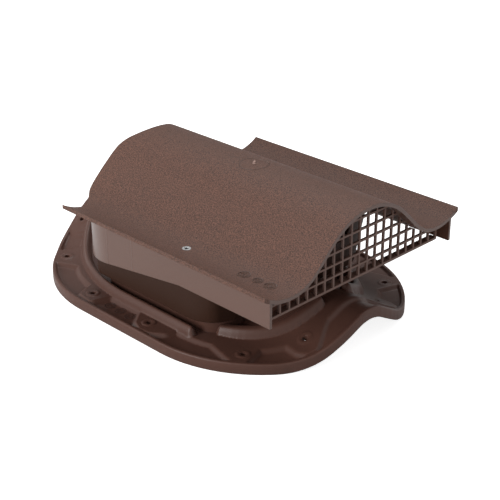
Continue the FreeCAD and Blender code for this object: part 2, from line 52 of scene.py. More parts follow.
MM = 0.001
WHITE = (1.0, 1.0, 1.0, 1.0)
CAMERA_PLACE = Vector((-695.5, -734.0, 520.0)) * MM
CAMERA_AIM = Vector((0.6371, 0.6371, -0.4337))
CAMERA_LENS = 86.5
CAMERA_SENSOR = 36.0
CAMERA_NEAREST = 0.01
STAGE_ROUGHNESS = 0.9
FLOOR_HALF = 6.0
FLOOR_PALE = (0.9, 0.9, 0.9, 1.0)
FLOOR_SPECULAR = 0.1
FLOOR_GLOW = 0.86
CARD_CORNERS = ((0.25, 1.75, 0.02), (2.1, -0.1, 0.02), (2.1, -0.1, 1.3), (0.25, 1.75, 1.3))
CARD_GREY = (0.3, 0.3, 0.3, 1.0)
ROOM_STRENGTH = 0.45
ROOM_MIRRORED = 1.0
LIGHTS = {
    "overhead_light": {"place": (0.7, 0.4, 1.8), "aim": (0.0, 0.0, 0.05), "size": 1.5, "power": 14.5},
    "left_light": {"place": (-1.72, 0.32, 0.6), "aim": (-0.05, 0.0, 0.06), "size": 0.9, "power": 21.0},
}

scene = bpy.context.scene
scene.view_settings.view_transform = "Standard"

camera = bpy.data.objects.new("camera", bpy.data.cameras.new("camera"))
camera.data.lens = CAMERA_LENS
camera.data.sensor_width = CAMERA_SENSOR
camera.data.clip_start = CAMERA_NEAREST
camera.location = CAMERA_PLACE
camera.rotation_euler = CAMERA_AIM.to_track_quat("-Z", "Y").to_euler()
scene.collection.objects.link(camera)
scene.camera = camera


def add_mesh(name, vertices, faces):
    """An object of the scene with a mesh of its own."""
    mesh = bpy.data.meshes.new(name)
    mesh.from_pydata(vertices, [], faces)
    mesh.update()
    piece = bpy.data.objects.new(name, mesh)
    scene.collection.objects.link(piece)
    return piece


def new_material(name):
    """A material with its Principled shader, and the tree to add nodes to."""
    material = bpy.data.materials.new(name)
    material.use_nodes = True
    tree = material.node_tree
    return material, tree, tree.nodes["Principled BSDF"]


def add_node(tree, kind, inputs=None, **settings):
    """A node with its settings; an input is a value or the socket that feeds it."""
    node = tree.nodes.new(kind)
    for name, setting in settings.items():
        setattr(node, name, setting)
    for name, source in (inputs or {}).items():
        if isinstance(source, bpy.types.NodeSocket):
            tree.links.new(source, node.inputs[name])
        else:
            node.inputs[name].default_value = source
    return node


def add_math(tree, operation, first, second):
    """The result of a sum of two values or sockets."""
    return add_node(tree, "ShaderNodeMath", {0: first, 1: second}, operation=operation).outputs[0]


floor = add_mesh(
    "floor",
    [(FLOOR_HALF * x, FLOOR_HALF * y, 0) for x, y in ((-1, -1), (1, -1), (1, 1), (-1, 1))],
    [(0, 1, 2, 3)],
)
floor_material, floor_tree, floor_shader = new_material("white_floor")
floor_shader.inputs["Base Color"].default_value = FLOOR_PALE
floor_shader.inputs["Roughness"].default_value = STAGE_ROUGHNESS
floor_shader.inputs["Specular IOR Level"].default_value = FLOOR_SPECULAR
floor_shader.inputs["Emission Color"].default_value = WHITE
floor_path = add_node(floor_tree, "ShaderNodeLightPath").outputs
floor_glow = add_math(floor_tree, "MULTIPLY", floor_path["Is Camera Ray"], FLOOR_GLOW)
floor_tree.links.new(floor_glow, floor_shader.inputs["Emission Strength"])
floor.data.materials.append(floor_material)

card = add_mesh("dark_card", CARD_CORNERS, [(0, 1, 2, 3)])
card_material, _, card_shader = new_material("dark_card")
card_shader.inputs["Base Color"].default_value = CARD_GREY
card_shader.inputs["Roughness"].default_value = STAGE_ROUGHNESS
card.data.materials.append(card_material)
card.visible_camera = False

world = bpy.data.worlds.new("white_room")
world.use_nodes = True
room_tree = world.node_tree
room = room_tree.nodes["Background"]
room.inputs["Color"].default_value = WHITE
room_path = add_node(room_tree, "ShaderNodeLightPath").outputs
seen = add_math(room_tree, "MAXIMUM", room_path["Is Camera Ray"], room_path["Is Glossy Ray"])
seen = add_math(room_tree, "MAXIMUM", seen, room_path["Is Transmission Ray"])
room_gain = add_math(room_tree, "MULTIPLY", seen, ROOM_MIRRORED - ROOM_STRENGTH)
room_tree.links.new(add_math(room_tree, "ADD", room_gain, ROOM_STRENGTH), room.inputs["Strength"])
scene.world = world

for name, facts in LIGHTS.items():
    lamp = bpy.data.lights.new(name, "AREA")
    lamp.size = facts["size"]
    lamp.energy = facts["power"]
    light = bpy.data.objects.new(name, lamp)
    light.location = facts["place"]
    towards = Vector(facts["aim"]) - Vector(facts["place"])
    light.rotation_euler = towards.to_track_quat("-Z", "Y").to_euler()
    scene.collection.objects.link(light)

# Flange: one soft moulding of brown plastic, an egg shaped plate with a rim, raised pads round the fixing
# holes, pockets between them, a rounded water lip and the upright collar. Its relief is a height worked out
# at each point of a fine net, its holes are drilled, and the mould left three date dials on its left side.

FLANGE_BROWN = (87, 59, 50)
# Darker than the flange's brown: painted shade at the edges of the raised dial rings and marks.
FLANGE_DIAL_SHADED_BROWN = (74, 50, 42)
GRAIN_SCALE = 1150.0
GRAIN_DETAIL = 3.0
GRAIN_ROUGHNESS = 0.6
GRAIN_DEPTH = 0.4 * MM
DRIFT_SCALE = 22.0
DRIFT_SHARE = 0.12
EDGE_SAMPLES = 6
FLANGE_HALF = 128.5
FLANGE_FRONT = (-181.5, 123.0)
FLANGE_SHOULDER = 120.0
FLANGE_NOSE = (181.5, 113.0)
FLANGE_TAPER = math.radians(43)
FLANGE_SHARP = math.radians(50)
RIM_HIGH = 10.5
RIM_WIDE = 4.0
RIM_ROUND = 1.6
RIM_FOOT_HIGH = 0.8
RIM_FOOT_SHRINK = 0.995
SKIN = 4.5
HUMP_HALF = 61.4
HUMP_APEX = 35.2
HUMP_CREST_RADIUS = 32.0
HUMP_FOOT_RADIUS = 85.0
HOLE_RADIUS = 2.6
HOLES = ((47.0, -150.5), (92.0, -122.5), (112.0, -26.5), (112.0, 51.5), (82.0, 129.5), (36.0, 163.5))
HOLE_RING_HIGH = 0.7
HOLE_RING_SLOPE = (7.0, 5.4)
HOLE_DISH_DEEP = 0.5
HOLE_DISH_SLOPE = (4.6, 2.6)
DRILL_MIDDLE = 20.0
DRILL_LONG = 80.0
DRILL_SIDES = 40
POCKET_DEEP = 3.2
POCKET_RIM = 3.5
POCKET_RIM_SLOPE = (-0.6, 1.4)
POCKET_REACH = 24.5
PAD_SLOPE = (-1.2, 4.4)
PADS = (
    ((64, -120, 1), (59, -135, 6), (61.5, -155, 5), (58.5, -164, 5), (51, -167, 5),
     (33, -158, 9), (20, -153, 9), (8, -150, 1), (20, -130, 1)),
    ((86, -80, 1), (99, -93, 6), (106, -120, 5), (108, -130, 4), (100, -133.5, 5),
     (69, -124.5, 7), (58, -118, 1)),
    ((92, 4, 1), (103, -4.5, 8), (119.5, -17, 9), (124.5, -28, 5), (123.5, -38, 5),
     (114, -51, 7), (104, -54, 6), (92, -62, 1)),
    ((92, 73, 1), (104, 66.5, 6), (121, 59.5, 5), (123.5, 41, 5), (106, 35.5, 7), (92, 24, 1)),
    ((80, 90, 1), (87, 107, 8), (97, 127, 4), (80, 147, 4), (60, 133, 8), (52, 118, 1)),
    ((30, 130, 1), (50, 152, 8), (50, 172, 4), (24, 182, 4), (13, 163, 8), (6, 140, 1)),
)
LIP_HALF = 99.7
LIP_WIDE = 9.5
LIP_HIGH = 8.0
LIP_FRONT_END = -71.5
LIP_SHOULDER = 165.0
LIP_TAPER = math.radians(45)
LIP_NOSE = (158.9, 70.0)
LIP_END_RADIUS = 4.5
LIP_ROUND = 4.75
LIP_FULLNESS = 0.85
FRONT_LIP_RADIUS = 82.5
FRONT_LIP_WIDE = 12.0
FRONT_LIP_BEARINGS = (math.radians(16), math.radians(69))
COLLAR_HALF = 90.0
COLLAR_FRONT = -87.0
COLLAR_BACK = 60.0
COLLAR_FRONT_CORNER = 24.0
COLLAR_BACK_CORNER = 11.0
COLLAR_WALL = 3.0
COLLAR_TOP = 52.0
COLLAR_EDGE_DROP = 0.5
COLLAR_EDGE_SHARE = 0.1
ARC_STEP = math.radians(4)
ARC_FEWEST = 3
NO_LENGTH = 1e-12
OUTLINE_PARTS = 40
NET_COLUMNS = 960
NET_ROWS = 82
NET_CROWDING = 1.15
NET_RIM_SHARES = (0.994, 0.9985, 1.0)
NET_UNDER_ROWS = 12
NET_CENTRE = -13.5
FLANGE_DIALS = ((-112.8, 26.0, 5.2, 80), (-112.7, 12.2, 5.2, 200), (-112.7, -1.6, 5.2, 320))
DIAL_STEPS = 40
DIAL_SUNK = -0.25
DIAL_HIGH = 0.4
DIAL_SLOPE = 0.15
DIAL_RING_WIDE = 0.8
DIAL_INNER_SHARE = 0.48
DIAL_INNER_WIDE = 0.6
DIAL_MARKS = 12
DIAL_MARK_SHARES = (0.66, 0.8)
DIAL_MARK_WIDE = 0.4
DIAL_MARK_HIGH = 0.22
POINTER_SHARE = 0.34
POINTER_WIDE = 0.5
POINTER_HIGH = 0.28
BARB_SHARES = (0.1, 0.2)
BARB_WIDE = 0.4
BAR_FOOT_GROW = 0.1
BAR_TOP_GROW = -0.05
ABOVE_ALL = 200.0
TRIM_SHARP = math.radians(35)


def srgb(red, green, blue):
    """A linear colour from the 0 to 255 values that a picture shows."""
    tones = [value / 255 for value in (red, green, blue)]
    return tuple(t / 12.92 if t <= 0.04045 else ((t + 0.055) / 1.055) ** 2.4 for t in tones) + (1.0,)


def moulded_surface():
    """The look all the mouldings share: sand grain, slow drift of tone and sheen, and softened edges."""
    tree = bpy.data.node_groups.new("moulded_surface", "ShaderNodeTree")
    takes = {"Colour": "Color", "Roughness": "Float", "Grain": "Float", "Edge Radius": "Float"}
    gives = {"Colour": "Color", "Roughness": "Float", "Normal": "Vector"}
    for way, sockets in (("INPUT", takes), ("OUTPUT", gives)):
        for name, kind in sockets.items():
            tree.interface.new_socket(name, in_out=way, socket_type="NodeSocket" + kind)
    given = tree.nodes.new("NodeGroupInput").outputs
    result = tree.nodes.new("NodeGroupOutput").inputs
    place = add_node(tree, "ShaderNodeTexCoord").outputs["Object"]
    grain = add_node(tree, "ShaderNodeTexNoise", {
        "Vector": place, "Scale": GRAIN_SCALE, "Detail": GRAIN_DETAIL, "Roughness": GRAIN_ROUGHNESS,
    }).outputs["Fac"]
    drift = add_node(tree, "ShaderNodeTexNoise", {"Vector": place, "Scale": DRIFT_SCALE}).outputs["Fac"]
    speckle = add_math(tree, "MULTIPLY", add_math(tree, "SUBTRACT", grain, 0.5), given["Grain"])
    slow = add_math(tree, "MULTIPLY", add_math(tree, "SUBTRACT", drift, 0.5), DRIFT_SHARE)
    tone = add_math(tree, "ADD", add_math(tree, "ADD", speckle, slow), 1.0)
    toned = add_node(tree, "ShaderNodeVectorMath", {0: given["Colour"], "Scale": tone}, operation="SCALE")
    tree.links.new(toned.outputs["Vector"], result["Colour"])
    tree.links.new(add_math(tree, "ADD", given["Roughness"], slow), result["Roughness"])
    edge = add_node(tree, "ShaderNodeBevel", {"Radius": given["Edge Radius"]}, samples=EDGE_SAMPLES)
    bump = add_node(tree, "ShaderNodeBump", {
        "Height": grain,
        "Distance": GRAIN_DEPTH,
        "Strength": add_math(tree, "MINIMUM", given["Grain"], 1.0),
        "Normal": edge.outputs["Normal"],
    })
    tree.links.new(bump.outputs["Normal"], result["Normal"])
    return tree


MOULDED = moulded_surface()


def moulded_plastic(name, colour, *, roughness, grain, edge, specular):
    """A plastic with the shared look; its roughness or its grain may be a maker that gets the tree."""
    material, tree, shader = new_material(name)
    surface = add_node(tree, "ShaderNodeGroup", node_tree=MOULDED, name="moulded")
    surface.inputs["Colour"].default_value = srgb(*colour)
    surface.inputs["Edge Radius"].default_value = edge
    for socket, source in (("Roughness", roughness), ("Grain", grain)):
        if callable(source):
            tree.links.new(source(tree), surface.inputs[socket])
        else:
            surface.inputs[socket].default_value = source
    tree.links.new(surface.outputs["Colour"], shader.inputs["Base Color"])
    tree.links.new(surface.outputs["Roughness"], shader.inputs["Roughness"])
    tree.links.new(surface.outputs["Normal"], shader.inputs["Normal"])
    shader.inputs["Specular IOR Level"].default_value = specular
    return material


def mirrored(corners):
    """The same corners on the left hand side, in the order that closes the outline."""
    return [(-corner[0],) + tuple(corner[1:]) for corner in reversed(corners)]


def rounded_outline(corners):
    """Points along a closed outline whose corners are (x, y, radius)."""
    points = []
    for index, (x, y, radius) in enumerate(corners):
        spot = Vector((x, y))
        back = (Vector(corners[index - 1][:2]) - spot).normalized()
        ahead = (Vector(corners[(index + 1) % len(corners)][:2]) - spot).normalized()
        half = back.angle(ahead) / 2
        centre = spot + (back + ahead).normalized() * radius / math.sin(half)
        first = spot + back * radius / math.tan(half) - centre
        last = spot + ahead * radius / math.tan(half) - centre
        begin = math.atan2(first.y, first.x)
        turn = (math.atan2(last.y, last.x) - begin + math.pi) % math.tau - math.pi
        steps = max(ARC_FEWEST, round(abs(turn) / ARC_STEP))
        for step in range(steps + 1):
            bearing = begin + turn * step / steps
            points.append((centre.x + radius * math.cos(bearing), centre.y + radius * math.sin(bearing)))
    return np.array(points)


def egg_outline(half, front, front_radius, shoulder, nose, nose_radius, taper, inset):
    """The egg shaped plan, moved inwards."""
    apex = nose + nose_radius * (1 / math.cos(taper) - 1)
    turn = inset * math.tan(math.pi / 4 - taper / 2)
    side = [
        (half - inset, front + inset, front_radius - inset),
        (half - inset, apex - half * math.tan(taper) - turn, shoulder - inset),
    ]
    tip = [(0.0, apex - inset / math.cos(taper), nose_radius - inset)]
    return rounded_outline(side + tip + mirrored(side))


def flange_outline(inset):
    """The plan of the plate's outer edge, moved inwards."""
    return egg_outline(FLANGE_HALF, *FLANGE_FRONT, FLANGE_SHOULDER, *FLANGE_NOSE, FLANGE_TAPER, inset)


def collar_outline(inset):
    """The plan of the collar's outer face, moved inwards."""
    half = COLLAR_HALF - inset
    side = [
        (half, COLLAR_FRONT + inset, COLLAR_FRONT_CORNER - inset),
        (half, COLLAR_BACK - inset, COLLAR_BACK_CORNER - inset),
    ]
    return rounded_outline(side + mirrored(side))


def long_lip_outline():
    """The run of the lip round the sides and the back: its outer edge and, turned round, its inner edge."""
    apex = LIP_NOSE[0] + LIP_NOSE[1] * (1 / math.cos(LIP_TAPER) - 1)
    edges = []
    for shift in (LIP_WIDE / 2, -LIP_WIDE / 2):
        turn = shift * math.tan(math.pi / 4 - LIP_TAPER / 2)
        side = [
            (LIP_HALF + shift, LIP_FRONT_END, LIP_END_RADIUS),
            (LIP_HALF + shift, apex - LIP_HALF * math.tan(LIP_TAPER) + turn, LIP_SHOULDER + shift),
        ]
        tip = [(0.0, apex + shift / math.cos(LIP_TAPER), LIP_NOSE[1] + shift)]
        edges.append(side + tip + mirrored(side))
    return rounded_outline(edges[0] + edges[1][::-1])


def front_lip_outline():
    """One short run of the lip on the curve of the front, on the right hand side."""
    middle = FLANGE_FRONT[0] + FLANGE_FRONT[1]
    first, last = FRONT_LIP_BEARINGS
    edges = []
    for shift in (FRONT_LIP_WIDE / 2, -FRONT_LIP_WIDE / 2):
        radius = FRONT_LIP_RADIUS + shift
        apex = radius / math.cos((last - first) / 2)
        marks = [
            (first, radius, -2 * LIP_END_RADIUS, LIP_END_RADIUS),
            ((first + last) / 2, apex, 0.0, radius),
            (last, radius, 2 * LIP_END_RADIUS, LIP_END_RADIUS),
        ]
        edges.append([
            (out * math.sin(turn) + along * math.cos(turn),
             middle - out * math.cos(turn) + along * math.sin(turn), corner)
            for turn, out, along, corner in marks
        ])
    return rounded_outline(edges[0] + edges[1][::-1])


def distance_to(outline, spots):
    """How far places lie from a closed outline, less than nought inside it."""
    nearest = np.full(len(spots), np.inf)
    inside = np.zeros(len(spots), bool)
    for start, end in zip(outline, np.roll(outline, -1, axis=0)):
        run = end - start
        length = run @ run
        if length < NO_LENGTH:
            continue
        offset = spots - start
        along = np.clip(offset @ run / length, 0, 1)
        nearest = np.minimum(nearest, ((offset - along[:, None] * run) ** 2).sum(axis=1))
        if run[1]:
            crosses = (start[1] > spots[:, 1]) != (end[1] > spots[:, 1])
            inside ^= crosses & (offset[:, 0] < offset[:, 1] * run[0] / run[1])
    return np.where(inside, -np.sqrt(nearest), np.sqrt(nearest))


def eased(value, low, high):
    """Nought up to low, one from high on, and a soft S between them."""
    share = np.clip((value - low) / (high - low), 0, 1)
    return share * share * (3 - 2 * share)


def hump(across):
    """How far the roof's wave lifts the plate, from the distance to the middle line."""
    across = np.abs(across)
    slope = math.atan2(HUMP_APEX, HUMP_HALF)
    crest_end = HUMP_CREST_RADIUS * math.sin(slope)
    crest_centre = HUMP_APEX - math.tan(slope) * crest_end - HUMP_CREST_RADIUS * math.cos(slope)
    foot_reach = HUMP_FOOT_RADIUS * math.tan(slope / 2)
    foot_end = HUMP_HALF + foot_reach
    foot_start = HUMP_HALF - foot_reach * math.cos(slope)
    crest = crest_centre + np.sqrt(np.maximum(HUMP_CREST_RADIUS ** 2 - across ** 2, 0))
    foot = HUMP_FOOT_RADIUS - np.sqrt(HUMP_FOOT_RADIUS ** 2 - np.minimum(foot_end - across, foot_end) ** 2)
    flank = HUMP_APEX - math.tan(slope) * across
    runs = [across < crest_end, across < foot_start, across < foot_end]
    return np.select(runs, [crest, flank, foot], 0.0)


def relief(spots):
    """The height of the plate's top above its base: pads, pockets, lip, rings round holes, rounded rim."""
    right = np.column_stack((np.abs(spots[:, 0]), spots[:, 1]))
    pads = np.min([distance_to(rounded_outline(pad), right) for pad in PADS], axis=0)
    band = distance_to(flange_outline(POCKET_REACH), right)
    from_pad = np.minimum(pads, band)
    from_rim = -distance_to(flange_outline(POCKET_RIM), right)
    height = RIM_HIGH - POCKET_DEEP * eased(from_pad, *PAD_SLOPE) * eased(from_rim, *POCKET_RIM_SLOPE)
    lip = np.minimum(distance_to(long_lip_outline(), right), distance_to(front_lip_outline(), right))
    arch = np.clip(1 + lip / LIP_ROUND, 0, 1)
    height += LIP_HIGH * (1 - arch ** 2) ** LIP_FULLNESS
    for x, y in HOLES:
        reach = np.hypot(right[:, 0] - x, right[:, 1] - y)
        height += HOLE_RING_HIGH * eased(reach, *HOLE_RING_SLOPE)
        height -= HOLE_DISH_DEEP * eased(reach, *HOLE_DISH_SLOPE)
    edge = np.clip(-distance_to(flange_outline(0.0), right), 0, RIM_ROUND)
    return height - RIM_ROUND + np.sqrt(RIM_ROUND ** 2 - (RIM_ROUND - edge) ** 2)


def net_ring(outline):
    """An outline as one point in each direction from the net's centre."""
    bearings = np.arange(NET_COLUMNS) * math.tau / NET_COLUMNS
    parts = np.linspace(0, 1, OUTLINE_PARTS, endpoint=False)[:, None, None]
    dense = (outline * (1 - parts) + np.roll(outline, -1, axis=0) * parts).reshape(-1, 2) - (0, NET_CENTRE)
    turns = np.arctan2(dense[:, 1], dense[:, 0])
    order = np.argsort(turns)
    reach = np.interp(bearings, turns[order], np.hypot(*dense.T)[order], period=math.tau)
    return (0, NET_CENTRE) + np.column_stack((np.cos(bearings), np.sin(bearings))) * reach[:, None]


def level(places, height):
    """Places of the net at a height, which is one for all or one for each."""
    return np.column_stack((places, np.broadcast_to(height, len(places))))


def raised(places, height):
    """Places of the net at a height above the roof's wave."""
    return level(places, hump(places[:, 0]) + height)


def flange_net():
    """The plate as rings of points: over the collar, out over the relief, round the rim and back below."""
    inner, outer = net_ring(collar_outline(COLLAR_WALL)), net_ring(collar_outline(0.0))
    edge, under = net_ring(flange_outline(0.0)), net_ring(flange_outline(RIM_WIDE))
    near, far = COLLAR_EDGE_SHARE, 1 - COLLAR_EDGE_SHARE
    rings = [
        level(inner, COLLAR_TOP - COLLAR_EDGE_DROP),
        level(inner * far + outer * near, COLLAR_TOP),
        level(inner * near + outer * far, COLLAR_TOP),
        level(outer, COLLAR_TOP - COLLAR_EDGE_DROP),
    ]
    shares = np.linspace(0, 1, NET_ROWS)
    for share in np.append(1 - (1 - shares[:-2]) ** NET_CROWDING, NET_RIM_SHARES):
        places = outer + (edge - outer) * share
        rings.append(raised(places, relief(places)))
    rings += [raised(edge, RIM_FOOT_HIGH), raised(edge * RIM_FOOT_SHRINK, 0.0), raised(under, 0.0)]
    for share in np.linspace(0, 1, NET_UNDER_ROWS):
        rings.append(raised(under + (inner - under) * share, RIM_HIGH - SKIN))
    return rings


def closed_net(name, rings):
    """A closed skin over rings of points, joined in both directions."""
    count = len(rings[0])
    vertices = np.concatenate(rings) * MM
    faces = []
    for row in range(len(rings)):
        here, there = row * count, (row + 1) % len(rings) * count
        for column in range(count):
            beside = (column + 1) % count
            faces.append((here + column, here + beside, there + beside, there + column))
    return add_mesh(name, vertices.tolist(), faces)


flange = closed_net("flange_moulding", flange_net())
drill = bmesh.new()
for x, y in HOLES:
    for side in (1, -1):
        bmesh.ops.create_cone(
            drill,
            cap_ends=True,
            segments=DRILL_SIDES,
            radius1=HOLE_RADIUS * MM,
            radius2=HOLE_RADIUS * MM,
            depth=DRILL_LONG * MM,
            matrix=Matrix.Translation(Vector((side * x, y, DRILL_MIDDLE)) * MM),
        )
drills = add_mesh("drill", [], [])
drill.to_mesh(drills.data)
drill.free()
holes = flange.modifiers.new("fixing_holes", "BOOLEAN")
holes.object = drills
holes.operation = "DIFFERENCE"
holes.solver = "MANIFOLD"
bpy.context.view_layer.update()
drilled = flange.evaluated_get(bpy.context.evaluated_depsgraph_get())
drilled_mesh = bpy.data.meshes.new_from_object(drilled)
flange.modifiers.clear()
flange.data = drilled_mesh
bpy.data.objects.remove(drills)
flange.data.shade_smooth()
flange.data.set_sharp_from_angle(angle=FLANGE_SHARP)
flange_plastic = moulded_plastic(
    "flange_brown", FLANGE_BROWN, roughness=0.4, grain=0.12, edge=0.4 * MM, specular=0.28
)
flange.data.materials.clear()
flange.data.materials.append(flange_plastic)
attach(flange, "root")
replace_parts(flange, "flange_base")


def surface_of(piece):
    """The skin of a piece, to set small features on it."""
    corners = [vertex.co for vertex in piece.data.vertices]
    return BVHTree.FromPolygons(corners, [face.vertices for face in piece.data.polygons])


def set_on(surface, x, y, high):
    """A place above a surface, so far out along its normal."""
    foot, normal, _, _ = surface.ray_cast(Vector((x, y, ABOVE_ALL)) * MM, Vector((0.0, 0.0, -1.0)))
    return foot + normal * high * MM


def raise_rings(mesh, loops, closed=False):
    """Joins loops of points, each the same count, into a band; closed joins the last to the first."""
    rows = [[mesh.verts.new(point) for point in loop] for loop in loops]
    joined = rows + rows[:1] if closed else rows
    for below, above in zip(joined, joined[1:]):
        for index in range(len(below)):
            ahead = (index + 1) % len(below)
            mesh.faces.new((below[index], below[ahead], above[ahead], above[index]))
    return rows


def circle_turns(count):
    """The directions of so many points round a circle."""
    return [math.tau * step / count for step in range(count)]


def raise_circle(mesh, surface, x, y, inner, outer, high):
    """A raised ring with sloped sides that follows the surface."""
    profile = (
        (outer, DIAL_SUNK), (outer - DIAL_SLOPE, high), (inner + DIAL_SLOPE, high), (inner, DIAL_SUNK)
    )
    raise_rings(mesh, [
        [
            set_on(surface, x + reach * math.cos(turn), y + reach * math.sin(turn), rise)
            for turn in circle_turns(DIAL_STEPS)
        ]
        for reach, rise in profile
    ], closed=True)


def raise_bar(mesh, surface, start, end, wide, high):
    """A raised bar with sloped sides between two places on the surface."""
    run = (end - start).normalized()
    aside = Vector((-run.y, run.x))
    loops = []
    for grow, rise in ((BAR_FOOT_GROW, DIAL_SUNK), (BAR_TOP_GROW, high)):
        half = wide / 2 + grow
        loops.append([
            set_on(surface, *(start - run * grow - aside * half), rise),
            set_on(surface, *(end + run * grow - aside * half), rise),
            set_on(surface, *(end + run * grow + aside * half), rise),
            set_on(surface, *(start - run * grow + aside * half), rise),
        ])
    rows = raise_rings(mesh, loops)
    mesh.faces.new(rows[-1])
    mesh.faces.new(rows[0][::-1])


def finish_piece(name, mesh, material):
    """Puts a mesh into the scene as a piece of the object, facing outwards and smooth between its edges."""
    bmesh.ops.recalc_face_normals(mesh, faces=mesh.faces)
    piece = add_mesh(name, [], [])
    mesh.to_mesh(piece.data)
    mesh.free()
    piece.data.shade_smooth()
    piece.data.set_sharp_from_angle(angle=TRIM_SHARP)
    piece.data.materials.append(material)
    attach(piece, "root")
    return piece


def date_dials(name, piece, places, material):
    """Plain date dials of the mould: two raised rings, twelve marks between them and a pointer."""
    surface = surface_of(piece)
    mesh = bmesh.new()
    for x, y, radius, bearing in places:
        middle = Vector((x, y))
        inner = radius * DIAL_INNER_SHARE
        raise_circle(mesh, surface, x, y, radius - DIAL_RING_WIDE, radius, DIAL_HIGH)
        raise_circle(mesh, surface, x, y, inner, inner + DIAL_INNER_WIDE, DIAL_HIGH)
        for mark in range(DIAL_MARKS):
            turn = math.radians(360 / DIAL_MARKS * mark + bearing)
            out = Vector((math.cos(turn), math.sin(turn)))
            start, end = [middle + out * radius * share for share in DIAL_MARK_SHARES]
            raise_bar(mesh, surface, start, end, DIAL_MARK_WIDE, DIAL_MARK_HIGH)
        point = Vector((math.cos(math.radians(bearing)), math.sin(math.radians(bearing))))
        side = Vector((-point.y, point.x))
        tip = middle + point * radius * POINTER_SHARE
        tail = middle - point * radius * POINTER_SHARE
        raise_bar(mesh, surface, tail, tip, POINTER_WIDE, POINTER_HIGH)
        for hand in (-1, 1):
            barb = middle + point * radius * BARB_SHARES[0] + side * hand * radius * BARB_SHARES[1]
            raise_bar(mesh, surface, barb, tip, BARB_WIDE, POINTER_HIGH)
    return finish_piece(name, mesh, material)


# The flange's dials take the darker brown, as painted shade at their raised edges.
flange_dial_plastic = moulded_plastic(
    "flange_dial_shaded_brown", FLANGE_DIAL_SHADED_BROWN, roughness=0.28, grain=0.1, edge=0.1 * MM, specular=0.6
)
date_dials("flange_date_dials", flange, FLANGE_DIALS, flange_dial_plastic)

# Duct: one smooth moulding of brown plastic, a sleeve pressed over the flange's collar. It is drawn dark
# brown:
# its colour is darkened below the other mouldings' as painted shade under the hood. Its front corners are
# well rounded at the foot and tighter at the top. Its front wall is low, to let the air out, and two bosses
# inside hold the hood screws.

# The duct's brown, darkened below the hood's and the flange's as painted shade under the hood.
DUCT_SHADED_BROWN = (57, 38, 30)
DUCT_HALF = 100.0
DUCT_FRONT = -94.5
DUCT_BACK = 67.5
DUCT_FOOT_CORNER = 30.0
DUCT_TOP_CORNER = 8.0
DUCT_BACK_CORNER = 15.0
DUCT_WALL = 2.5
DUCT_FOOT = 25.5
DUCT_TOP = 75.0
DUCT_EDGE = 0.6
OUTLET_HALF = 72.0
OUTLET_SILL = 54.0
OUTLET_ROUND = 6.0
SCREW_PLACES = ((91.65, -54.9), (-91.65, -54.9))
SCREW_TURNS = circle_turns(36)
BOSS_RADIUS = 6.2
BOSS_FOOT = 54.5
BOSS_BORE = 1.8


def sleeve_plan(inset, corner):
    """The plan of the sleeve, moved inwards, with its front corners rounded so far."""
    side = [
        (DUCT_HALF - inset, DUCT_FRONT + inset, corner - inset),
        (DUCT_HALF - inset, DUCT_BACK - inset, DUCT_BACK_CORNER - inset),
    ]
    return net_ring(rounded_outline(side + mirrored(side)))


def sleeve_foot(inset):
    """The lower edge of the sleeve, which rests on the flange's hump."""
    places = sleeve_plan(inset, DUCT_FOOT_CORNER)
    height = np.maximum(DUCT_FOOT, hump(places[:, 0]) + RIM_HIGH)
    return (level(places, height) * MM).tolist()


def sleeve_top(inset, drop):
    """A ring so far below the upper edge of the sleeve, which dips to the sill of the outlet."""
    places = sleeve_plan(inset, DUCT_TOP_CORNER)
    in_front = places[:, 1] < NET_CENTRE
    dip = eased(np.abs(places[:, 0]), OUTLET_HALF + OUTLET_ROUND, OUTLET_HALF - OUTLET_ROUND) * in_front
    height = DUCT_TOP - (DUCT_TOP - OUTLET_SILL) * dip - drop
    return (level(places, height) * MM).tolist()


duct = bmesh.new()
raise_rings(duct, [
    sleeve_foot(0.0),
    sleeve_top(0.0, DUCT_EDGE),
    sleeve_top(DUCT_EDGE, 0.0),
    sleeve_top(DUCT_WALL - DUCT_EDGE, 0.0),
    sleeve_top(DUCT_WALL, DUCT_EDGE),
    sleeve_foot(DUCT_WALL),
], closed=True)
boss_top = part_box("inner_duct")[1].z / MM
boss_profile = (
    (BOSS_RADIUS, BOSS_FOOT), (BOSS_RADIUS, boss_top), (BOSS_BORE, boss_top), (BOSS_BORE, BOSS_FOOT)
)
for x, y in SCREW_PLACES:
    raise_rings(duct, [
        [
            Vector((x + reach * math.cos(turn), y + reach * math.sin(turn), height)) * MM
            for turn in SCREW_TURNS
        ]
        for reach, height in boss_profile
    ], closed=True)
# Painted shade: the duct's plastic takes the darkened brown.
duct_plastic = moulded_plastic(
    "duct_shaded_brown", DUCT_SHADED_BROWN, roughness=0.3, grain=0.08, edge=1.5 * MM, specular=0.08
)
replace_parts(finish_piece("duct_moulding", duct, duct_plastic), "inner_duct")

# Hood: one injection moulding of brown plastic, a wave shaped sheet with a fine sand grain on top and on
# its edges, and a smooth skirt wall below. The mould left a ringed dish with a gate stub on the crown, two
# faint joint lines on each side of the skirt and three date dials in the left trough.

HOOD_BROWN = (91, 61, 49)
